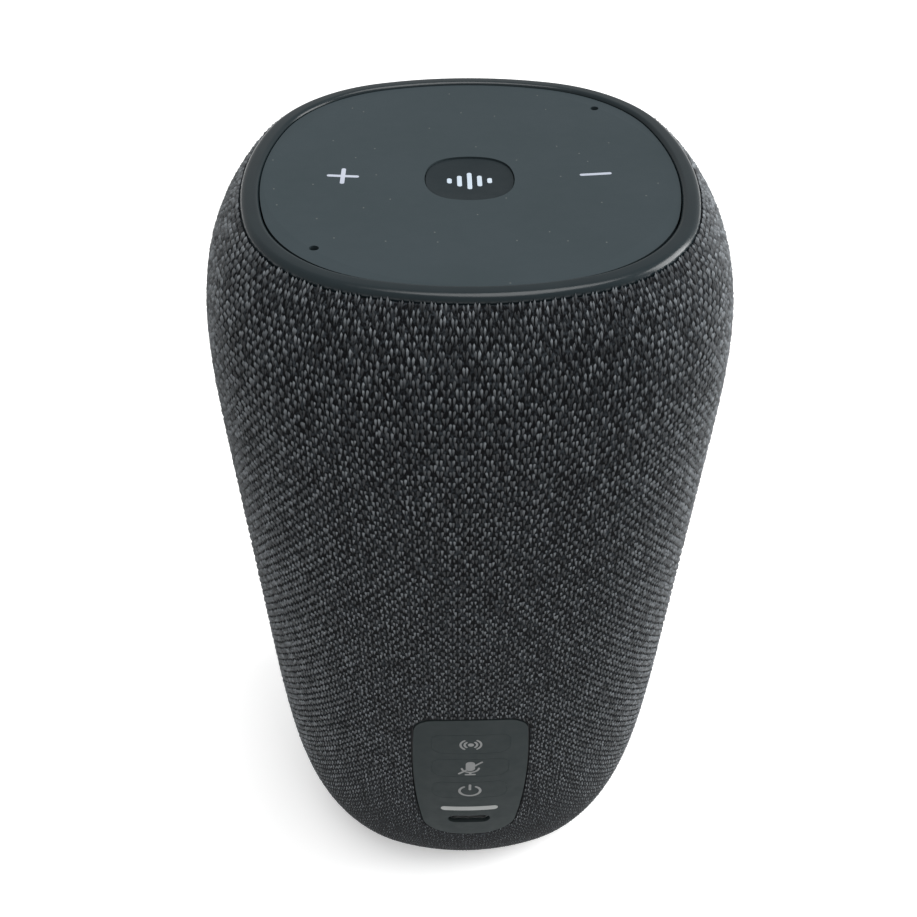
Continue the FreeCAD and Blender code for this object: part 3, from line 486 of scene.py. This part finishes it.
def make_stitches(look):
    """V-shaped stitches, two legs each, in rows shifted by half a stitch."""
    heights = climb(COURSE, FIRST_ROW, LAST_ROW)
    row = np.arange(len(heights))
    turn = (np.arange(WALES)[None, :] + 0.5 * (row[:, None] % 2)) / WALES
    z = np.broadcast_to(heights[:, None], turn.shape)
    row_of = np.broadcast_to(row[:, None], turn.shape).ravel()
    turn, z = turn.ravel(), z.ravel()
    middle, normal = on_body(turn, z)
    distance = outline_distance(middle[:, 0], middle[:, 2])[0]
    kept = (distance > EDGE_ROOM) | (middle[:, 1] > 0)
    middle, normal, row_of, turn = middle[kept], normal[kept], row_of[kept], turn[kept]
    up = np.array([0, 0, 1.0]) - normal * normal[:, 2:3]
    up /= np.linalg.norm(up, axis=1, keepdims=True)
    across = np.cross(up, normal)
    pitch = np.linalg.norm(on_body(turn + 0.5 / WALES, middle[:, 2])[0]
                           - on_body(turn - 0.5 / WALES, middle[:, 2])[0], axis=1)
    narrow = pitch / WALE
    sunk = SINK * np.clip((SINK_FROM - middle[:, 2]) / SINK_OVER, 0, 1)
    count = len(middle)
    loop = RNG.random(count)
    band_of = row_of * KNIT_BANDS // (row_of.max() + 1)
    all_points, all_shades, all_bands = [], [], []
    for leg in (-1, 1):
        slide = RNG.normal(0, SLIDE, (count, 2))
        lean = RNG.normal(0, LEAN, count)
        size = np.clip(1 + RNG.normal(0, SIZE, count), SMALLEST, LARGEST)
        bright = LOOP_SHARE * loop + LEG_SHARE * RNG.random(count) ** 2.0 + DARKEST
        bright = np.clip(bright, DARKEST, 1.0)
        stations, shades = [], []
        for along, half, ridge, spread, painted_fade in LEG:
            v = along * size + slide[:, 1]
            u = (leg * spread + lean * along + slide[:, 0]) * narrow
            for side in ((0,) if half == 0 else (-1, 0, 1)):
                lift = (ridge if side == 0 else SKIRT) * size - sunk
                stations.append(middle + (across * (u + side * half * size * narrow)[:, None]
                                          + up * v[:, None] + normal * lift[:, None]) * MM)
                # the leg's random brightness times the painted shade along it
                shades.append(painted_fade * bright)
        all_points.append(np.stack(stations, 1))
        all_shades.append(np.stack(shades, 1))
        all_bands.append(band_of)
    points = np.concatenate(all_points)
    shades, bands = np.concatenate(all_shades), np.concatenate(all_bands)
    # legs that reach over the control panel's edge are pressed back to it
    distance, way_x, way_z = outline_distance(points[..., 0], points[..., 2])
    over = np.where((distance < 0) & (points[..., 1] < 0), distance, 0.0)
    points[..., 0] -= way_x * over
    points[..., 2] -= way_z * over
    pieces = []
    for band in range(KNIT_BANDS):
        mine = points[bands == band]
        starts = np.arange(len(mine))[:, None] * LEG_POINTS
        faces = []
        for face in LEG_FACES:
            faces += (starts + np.array(face)[None, :]).tolist()
        piece = new_piece(f"knit_stitches_{band + 1}", mine.reshape(-1, 3), faces, look)
        attribute = piece.data.attributes.new("shade", "FLOAT", "POINT")
        attribute.data.foreach_set("value", shades[bands == band].ravel().astype(np.float32))
        pieces.append(piece)
    return pieces


def make_sleeve(looks):
    ground = make_ground(looks["ground"])
    stitches = make_stitches(looks["yarn"])
    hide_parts("fabric_sleeve")


# ---- marks and key webs --------------------------------------------------------------------
def ribbon(points, width):
    """The outline of a stroke of this width along points, with round ends."""
    points = np.asarray(points, float)
    along = np.gradient(points, axis=0)
    along /= np.linalg.norm(along, axis=1, keepdims=True)
    side = np.stack([-along[:, 1], along[:, 0]], 1) * width / 2
    left, right = points + side, points - side
    caps = []
    for end, way in ((points[0], side[0]), (points[-1], -side[-1])):
        angle = math.atan2(way[1], way[0]) + np.linspace(0, math.pi, CAP_STEPS + 2)[1:-1]
        caps.append(end + width / 2 * np.stack([np.cos(angle), np.sin(angle)], 1))
    return np.concatenate([left[::-1], caps[0], right, caps[1]])


def arc_points(cx, cy, radius, start, end, steps=ARC_STEPS):
    angles = np.radians(np.linspace(start, end, steps))
    return np.stack([cx + radius * np.cos(angles), cy + radius * np.sin(angles)], 1)


def line_points(x0, y0, x1, y1):
    t = np.linspace(0, 1, LINE_STEPS)[:, None]
    return np.array([[x0, y0]]) * (1 - t) + np.array([[x1, y1]]) * t


def disc(cx, cy, radius):
    return arc_points(cx, cy, radius, 0, 345, 24)


def printed(name, outlines, lift, look, body):
    """Thin raised marks: each outline in (u, v) becomes a plate with its face placed by lift."""
    points, faces = [], []
    for outline in outlines:
        outline = np.asarray(outline) * MM
        area = 0.5 * np.sum(outline[:, 0] * np.roll(outline[:, 1], -1)
                            - np.roll(outline[:, 0], -1) * outline[:, 1])
        if area < 0:
            outline = outline[::-1]
        top, low = lift(outline, MARK_PROUD), lift(outline, -MARK_ROOT)
        n, start = len(outline), len(points)
        points += top.tolist() + low.tolist()
        faces.append([start + i for i in range(n)])
        faces += [[start + i, start + n + i, start + n + (i + 1) % n, start + (i + 1) % n]
                  for i in range(n)]
    new_piece(name, points, faces, look, body, smooth=False)


def rounded_outline(width, height, corner):
    """A rounded rectangle's outline, counterclockwise."""
    points = []
    for sx, sz, start in ((1, 1, 0), (-1, 1, 90), (-1, -1, 180), (1, -1, 270)):
        cx, cz = sx * (width / 2 - corner), sz * (height / 2 - corner)
        points.append(arc_points(cx, cz, corner, start, start + 90, 8))
    return np.concatenate(points)


def make_key_hairline(key, look):
    """The skin's thin web between a key and the hole it stands in."""
    low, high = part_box(key)
    lift = rear_lift((low.z + high.z) / 2)
    near, far = KEY_MARGIN, KEY_CLEAR - KEY_MARGIN
    front, back = KEY_WEB
    loops = []
    for grow, depth in ((near, front), (far, front), (far, back), (near, back)):
        loop = rounded_outline(KEY_SIZE[0] + 2 * grow, KEY_SIZE[1] + 2 * grow, KEY_CORNER + grow)
        loops.append(lift(loop, -depth))
    sides, count = len(loops), len(loops[0])
    faces = []
    for side in range(sides):
        this, following = side * count, (side + 1) % sides * count
        for i in range(count):
            j = (i + 1) % count
            faces.append([this + i, this + j, following + j, following + i])
    name = key.replace("_key", "_hairline")
    new_piece(name, np.concatenate(loops), faces, look)


def rear_lift(z_mid):
    """Places outlines on the control panel about height z_mid."""
    def lift(outline, rise):
        x, z = outline[:, 0], outline[:, 1] + z_mid
        return np.stack([x, face_y(x, z) - rise, z], 1)
    return lift


def key_lift(outline, rise):
    """Places marks on the talk key's hollow face."""
    x, y = outline[:, 0], outline[:, 1]
    z = TALK_FACE + TALK_BALL - np.sqrt(TALK_BALL ** 2 - x ** 2 - y ** 2)
    return np.stack([x, y, z + rise], 1)


def make_marks(looks):
    """The keys' legends and webs, and the talk key's five bars; their drawings are in mm."""
    waves = [disc(0, 0, 0.6)]
    for side in (0, 180):
        waves.append(ribbon(arc_points(0, 0, 1.25, side - 48, side + 48), 0.42))
        waves.append(ribbon(arc_points(0, 0, 2.05, side - 52, side + 52), 0.42))
    microphone = [ribbon(line_points(0, -0.1, 0, 1.7), 1.9),
                  ribbon(arc_points(0, 0.1, 1.75, 185, 355), 0.45),
                  ribbon(line_points(0, -1.7, 0, -2.5), 0.5),
                  ribbon(line_points(-0.9, -2.6, 0.9, -2.6), 0.5),
                  ribbon(line_points(-2.3, -2.2, 2.3, 2.4), 0.5)]
    power = [ribbon(arc_points(0, -0.2, 2.2, 125, 415, 24), 0.55),
             ribbon(line_points(0, 0.4, 0, 2.4), 0.55)]
    legends = {"pairing_key": waves, "mic_mute_key": microphone, "power_key": power}
    for node, outlines in legends.items():
        low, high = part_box(node)
        printed(node.replace("_key", "_legend"), outlines, rear_lift((low.z + high.z) / 2),
                looks["legend"], node + "_body")
        make_key_hairline(node, looks["rear"])
    bars = [ribbon(line_points(x, -h, x, h), 0.75)
            for x, h in ((-3.2, 0.45), (-1.6, 1.35), (0, 2.3), (1.6, 1.35), (3.2, 0.45))]
    printed("talk_glyph", bars, key_lift, looks["glyph"], "voice_key_body")


# ---- top ring ------------------------------------------------------------------------------
def make_ring(look):
    """The rubber ring round the top panel, rounded over its edge."""
    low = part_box("top_ring")[0].z + RING_FOOT
    profile = [(RING_HALF, low), (RING_HALF, HEIGHT - RING_ROUND)]
    for a in np.radians(np.linspace(9, 90, 10)):
        profile.append((RING_HALF - RING_ROUND * (1 - math.cos(a)),
                        HEIGHT - RING_ROUND * (1 - math.sin(a))))
    for a in np.radians(np.linspace(90, 180, 9)):
        profile.append((RING_INNER + RING_LIP * (1 + math.cos(a)),
                        HEIGHT - RING_LIP * (1 - math.sin(a))))
    profile.append((RING_INNER, low))
    turn = np.arange(RING_POINTS) / RING_POINTS
    rows = []
    for half, z in profile:
        x, y = squircle(RING_HALF, turn, RING_HALF - half)[:2]
        rows.append(np.stack([x, y, np.full_like(x, z)], 1))
    faces = grid_faces(len(rows), RING_POINTS)
    last = (len(rows) - 1) * RING_POINTS
    for c in range(RING_POINTS):
        d = (c + 1) % RING_POINTS
        faces.append([last + c, last + d, d, c])
    ring = new_piece("top_ring_rubber", np.concatenate(rows), faces, look)
    keep_edges(ring, 50)
    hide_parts("top_ring")


# ---- stage, light and camera ---------------------------------------------------------------
def make_stage():
    """A pale floor, slightly bright by itself so that it stays white."""
    look = Shader("floor", roughness=0.9, Emission_Color=(1, 1, 1, 1), Emission_Strength=0.35)
    look.color(look.mix(look.noise(0.01, 2.0), (0.90, 0.90, 0.90), (0.92, 0.92, 0.92)))
    signs = ((-1, -1), (1, -1), (1, 1), (-1, 1))
    corners = [(x * FLOOR_REACH, y * FLOOR_REACH, 0) for x, y in signs]
    mesh = bpy.data.meshes.new("floor")
    mesh.from_pydata(corners, [], [(0, 1, 2, 3)])
    floor = bpy.data.objects.new("floor", mesh)
    bpy.context.collection.objects.link(floor)
    mesh.materials.append(look.material)


def add_light(name, at, aim, size, power):
    light = bpy.data.lights.new(name, "AREA")
    light.shape, light.size, light.size_y = "RECTANGLE", size[0], size[1]
    light.energy = power
    lamp = bpy.data.objects.new(name, light)
    lamp.location = at
    lamp.rotation_euler = (Vector(aim) - Vector(at)).to_track_quat("-Z", "Y").to_euler()
    bpy.context.collection.objects.link(lamp)


def make_lights():
    world = bpy.data.worlds.new("studio")
    world.use_nodes = True
    background = world.node_tree.nodes["Background"]
    background.inputs["Color"].default_value = (1, 1, 1, 1)
    background.inputs["Strength"].default_value = 0.5
    bpy.context.scene.world = world
    add_light("overhead", (0.15, -0.1, 1.1), (0, 0, 0.1), (0.7, 0.7), 9.0)
    add_light("right_wall", (0.85, 0.1, 0.35), (0, 0, 0.1), (0.5, 0.6), 8.0)
    bpy.context.scene.view_settings.view_transform = "Standard"


def make_camera():
    data = bpy.data.cameras.new("camera")
    data.lens, data.sensor_width = LENS, SENSOR
    data.clip_start, data.clip_end = 0.01, 50
    camera = bpy.data.objects.new("camera", data)
    look = (CAMERA_AIM - CAMERA_AT).to_track_quat("-Z", "Y").to_matrix().to_4x4()
    roll = Matrix.Rotation(CAMERA_ROLL, 4, "Z")
    camera.matrix_world = Matrix.Translation(CAMERA_AT) @ look @ roll
    bpy.context.collection.objects.link(camera)
    bpy.context.scene.camera = camera


make_camera()
make_lights()
make_stage()
LOOKS = make_materials()
dress_nodes(LOOKS)
make_sleeve(LOOKS)
make_ring(LOOKS["ring"])
make_marks(LOOKS)
